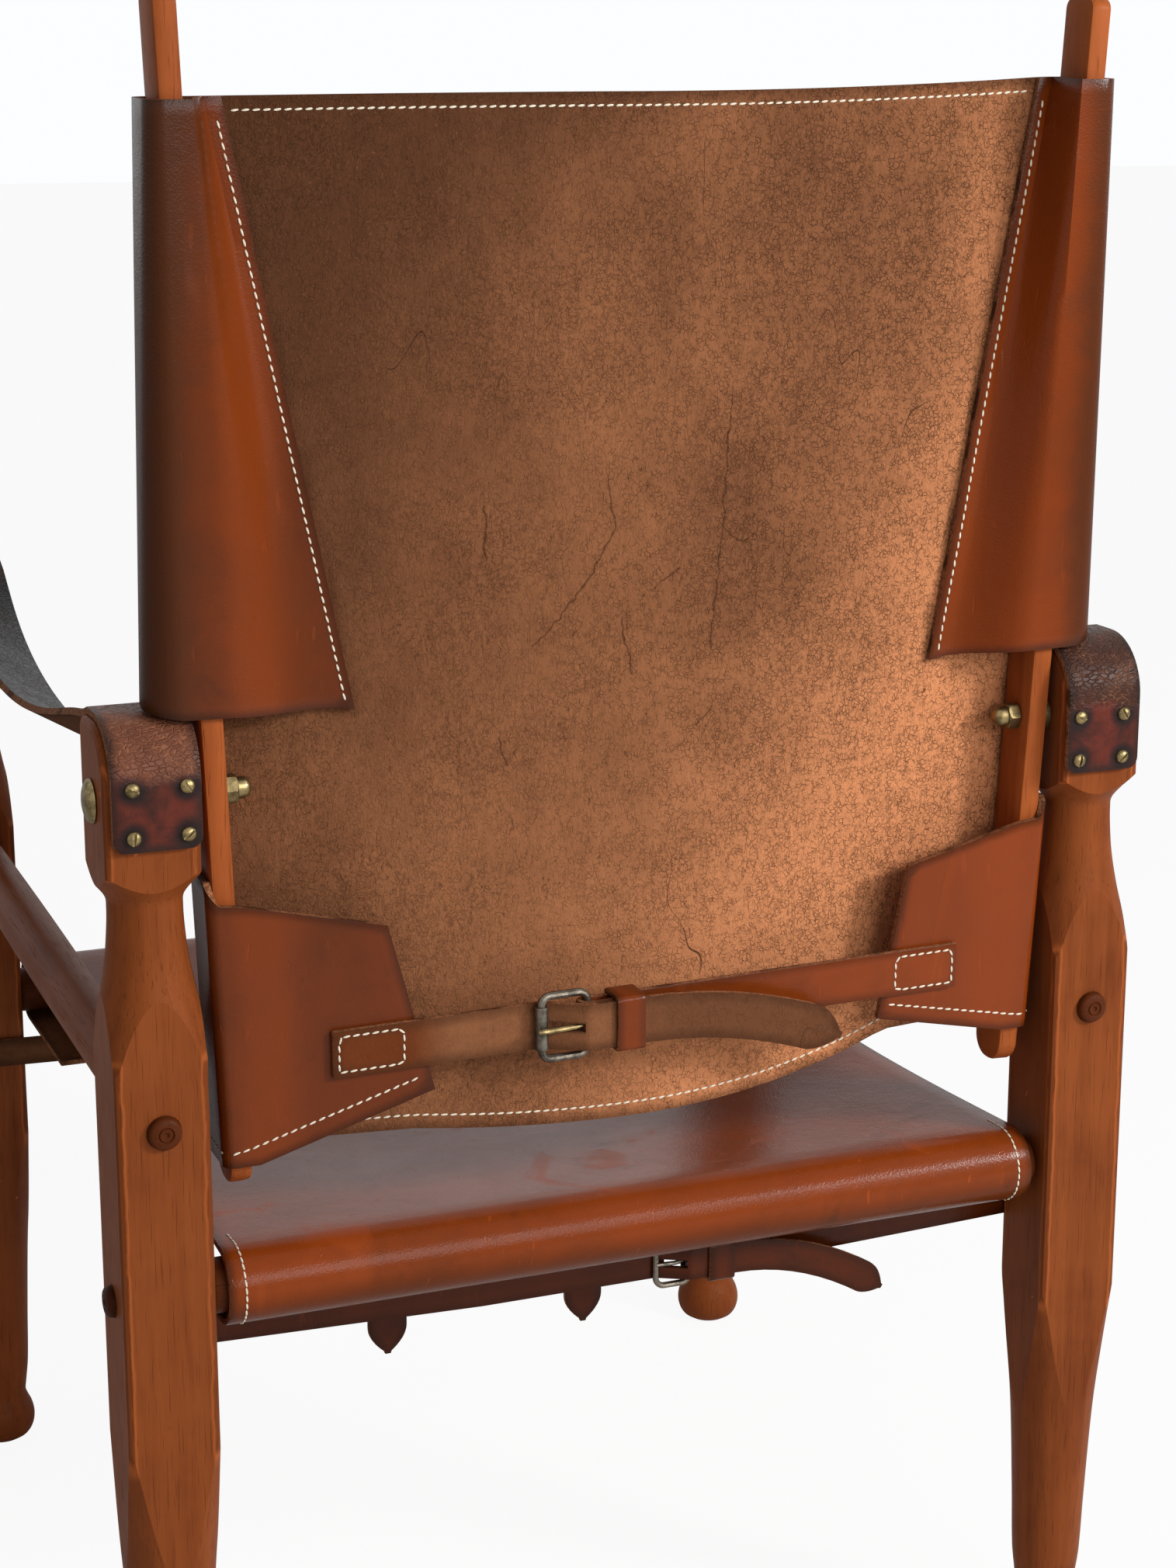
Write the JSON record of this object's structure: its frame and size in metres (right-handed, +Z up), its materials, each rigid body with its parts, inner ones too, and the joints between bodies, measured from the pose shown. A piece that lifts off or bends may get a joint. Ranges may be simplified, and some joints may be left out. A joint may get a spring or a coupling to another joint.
{
  "type": "campaign armchair",
  "caption": "Knock-down wooden armchair with turned legs, leather seat and back slings, strap arms and a tilting backrest.",
  "frame": {"origin": "on the floor under the middle of the chair", "axes": "+Z up, -Y towards the front of the seat, +X towards the sitter's left"},
  "size_m": [0.5766, 0.5431, 0.9289],
  "materials": {
    "wood": "waxed orange-brown, worn at the edges",
    "leather_grain": "polished vegetable-tanned grain side",
    "leather_flesh": "matt flesh side with fine cracks",
    "leather_dark": "darkened and crazed grain",
    "brass": "aged, satin",
    "buckle_metal": "dark antiqued"
  },
  "bodies": {
    "frame": {"arm_screw_back_left_1": "brass", "arm_screw_back_left_2": "brass", "arm_screw_back_left_3": "brass", "arm_screw_back_left_4": "brass", "arm_screw_back_right_1": "brass", "arm_screw_back_right_2": "brass", "arm_screw_back_right_3": "brass", "arm_screw_back_right_4": "brass", "arm_screw_front_left_1": "brass", "arm_screw_front_left_2": "brass", "arm_screw_front_left_3": "brass", "arm_screw_front_left_4": "brass", "arm_screw_front_right_1": "brass", "arm_screw_front_right_2": "brass", "arm_screw_front_right_3": "brass", "arm_screw_front_right_4": "brass", "arm_strap_left": "leather_dark", "arm_strap_right": "leather_dark", "back_cross_strap_billet": "leather_grain", "back_cross_strap_buckle": "buckle_metal", "back_cross_strap_buckle_end": "leather_grain", "back_cross_strap_keeper": "leather_grain", "dome_nut_left": "brass", "dome_nut_right": "brass", "front_cross_strap_billet": "leather_grain", "front_cross_strap_buckle": "buckle_metal", "front_cross_strap_buckle_end": "leather_grain", "front_cross_strap_keeper": "leather_grain", "leg_back_left": "wood", "leg_back_right": "wood", "leg_front_left": "wood", "leg_front_right": "wood", "pivot_bolt_left": "brass", "pivot_bolt_right": "brass", "seat_rail_back": "wood", "seat_rail_front": "wood", "seat_sling": "leather_grain", "seat_strap_billet_1": "leather_flesh", "seat_strap_billet_2": "leather_flesh", "seat_strap_billet_3": "leather_flesh", "seat_strap_buckle_1": "buckle_metal", "seat_strap_buckle_2": "buckle_metal", "seat_strap_buckle_3": "buckle_metal", "seat_strap_buckle_end_1": "leather_flesh", "seat_strap_buckle_end_2": "leather_flesh", "seat_strap_buckle_end_3": "leather_flesh", "side_rail_left": "wood", "side_rail_right": "wood", "spacer_washer_left": "brass", "spacer_washer_right": "brass"},
    "backrest": {"back_post_left": "wood", "back_post_right": "wood", "back_sling": "leather_flesh", "belt_billet": "leather_grain", "belt_buckle_strap": "leather_grain", "belt_buckle_frame": "buckle_metal", "belt_prong": "buckle_metal", "belt_keeper": "leather_grain"},
    "roller": {"belt_roller": "buckle_metal"}
  },
  "joints": [
    {"name": "backrest_tilt", "type": "hinge", "parent": "frame", "child": "backrest", "pos_m": [0, 0.24, 0.555], "axis": [-1, 0, 0], "range_deg": [-8, 12]},
    {"name": "buckle_roller_spin", "type": "hinge", "parent": "backrest", "child": "roller", "pos_m": [0.0625, 0.26089, 0.41938], "axis": [0.0175, 0.0297, 0.9994], "continuous": true}
  ]
}
